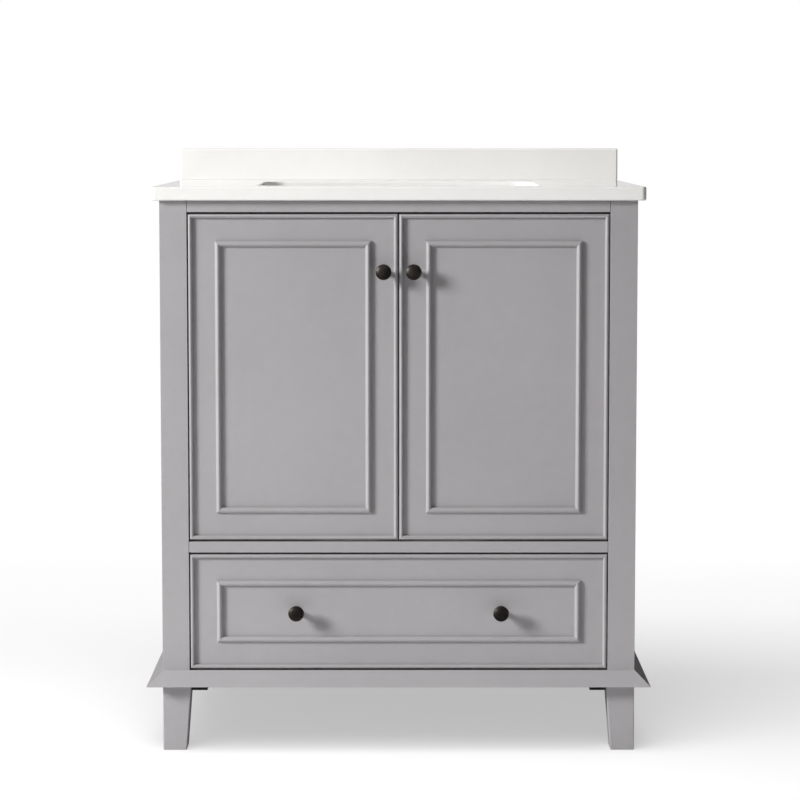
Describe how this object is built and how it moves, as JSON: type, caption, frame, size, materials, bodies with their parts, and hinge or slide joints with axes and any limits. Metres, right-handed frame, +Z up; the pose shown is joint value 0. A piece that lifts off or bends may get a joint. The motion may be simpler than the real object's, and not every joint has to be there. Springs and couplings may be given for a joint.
{
  "type": "bathroom vanity cabinet",
  "caption": "Freestanding bathroom vanity: grey painted cabinet on tapered legs with inset hinged doors above a drawer, flared base moulding, white stone top, backsplash and undermount sink.",
  "frame": {"origin": "on the floor under the middle of the whole object's outline", "axes": "+Z up; the doors and drawer face -Y; +X to the right of a person facing them"},
  "size_m": [0.812, 0.571, 0.9676],
  "materials": {
    "grey_paint": "satin grey paint on wood",
    "white_stone": "polished white cultured stone",
    "white_porcelain": "gloss white glaze",
    "dark_knob_metal": "dark bronze, satin",
    "hinge_steel": "nickel plated",
    "slide_steel": "zinc plated",
    "drawer_wood": "clear satin lacquer on birch",
    "carcass_wood": "clear lacquered plywood",
    "black_plastic": "matte moulded"
  },
  "bodies": {
    "cabinet": {"left_side_panel": "grey_paint", "right_side_panel": "grey_paint", "left_stile": "grey_paint", "right_stile": "grey_paint", "top_rail": "grey_paint", "middle_rail": "grey_paint", "bottom_rail": "grey_paint", "front_skirt": "grey_paint", "left_skirt": "grey_paint", "right_skirt": "grey_paint", "front_left_leg": "grey_paint", "front_right_leg": "grey_paint", "rear_left_leg": "grey_paint", "rear_right_leg": "grey_paint", "bottom_panel": "grey_paint", "back_panel": "carcass_wood", "shelf_panel": "carcass_wood", "rear_stretcher": "carcass_wood", "left_hinge_cleat": "carcass_wood", "right_hinge_cleat": "carcass_wood", "front_left_leg_block": "black_plastic", "front_right_leg_block": "black_plastic", "rear_left_leg_block": "black_plastic", "rear_right_leg_block": "black_plastic", "countertop": "white_stone", "backsplash": "white_stone", "sink_bowl": "white_porcelain", "left_cabinet_slide": "slide_steel", "left_upper_hinge_arm": "hinge_steel", "left_lower_hinge_arm": "hinge_steel", "right_cabinet_slide": "slide_steel", "right_upper_hinge_arm": "hinge_steel", "right_lower_hinge_arm": "hinge_steel"},
    "left_door": {"left_door_panel": "grey_paint", "left_door_moulding": "grey_paint", "left_door_knob": "dark_knob_metal", "left_upper_hinge_cup": "hinge_steel", "left_lower_hinge_cup": "hinge_steel"},
    "left_hinge_links": {"left_upper_hinge_link": "hinge_steel", "left_lower_hinge_link": "hinge_steel"},
    "right_door": {"right_door_panel": "grey_paint", "right_door_moulding": "grey_paint", "right_door_knob": "dark_knob_metal", "right_upper_hinge_cup": "hinge_steel", "right_lower_hinge_cup": "hinge_steel"},
    "right_hinge_links": {"right_upper_hinge_link": "hinge_steel", "right_lower_hinge_link": "hinge_steel"},
    "drawer": {"drawer_front_panel": "grey_paint", "drawer_front_moulding": "grey_paint", "left_drawer_knob": "dark_knob_metal", "right_drawer_knob": "dark_knob_metal", "drawer_left_side": "drawer_wood", "drawer_right_side": "drawer_wood", "drawer_back": "drawer_wood", "drawer_inner_front": "drawer_wood", "drawer_bottom": "drawer_wood", "left_drawer_slide": "slide_steel", "right_drawer_slide": "slide_steel"},
    "slide_middles": {"left_middle_slide": "slide_steel", "right_middle_slide": "slide_steel"}
  },
  "joints": [
    {"name": "left_door_hinge", "type": "hinge", "parent": "cabinet", "child": "left_door", "pos_m": [-0.326, -0.2555, 0.344], "axis": [0, 0, -1], "range_deg": [0, 105]},
    {"name": "left_hinge_link_turn", "type": "hinge", "parent": "cabinet", "child": "left_hinge_links", "pos_m": [-0.326, -0.2555, 0.344], "axis": [0, 0, -1], "range_deg": [0, 84]},
    {"name": "right_door_hinge", "type": "hinge", "parent": "cabinet", "child": "right_door", "pos_m": [0.326, -0.2555, 0.344], "axis": [0, 0, 1], "range_deg": [0, 105]},
    {"name": "right_hinge_link_turn", "type": "hinge", "parent": "cabinet", "child": "right_hinge_links", "pos_m": [0.326, -0.2555, 0.344], "axis": [0, 0, 1], "range_deg": [0, 84]},
    {"name": "drawer_travel", "type": "slide", "parent": "cabinet", "child": "drawer", "axis": [0, -1, 0], "range_m": [0, 0.4]},
    {"name": "slide_middle_travel", "type": "slide", "parent": "cabinet", "child": "slide_middles", "axis": [0, -1, 0], "range_m": [0, 0.2]}
  ],
  "couplings": [
    {"joint": "left_hinge_link_turn", "follows": "left_door_hinge", "ratio": 0.8},
    {"joint": "right_hinge_link_turn", "follows": "right_door_hinge", "ratio": 0.8},
    {"joint": "slide_middle_travel", "follows": "drawer_travel", "ratio": 0.5}
  ]
}
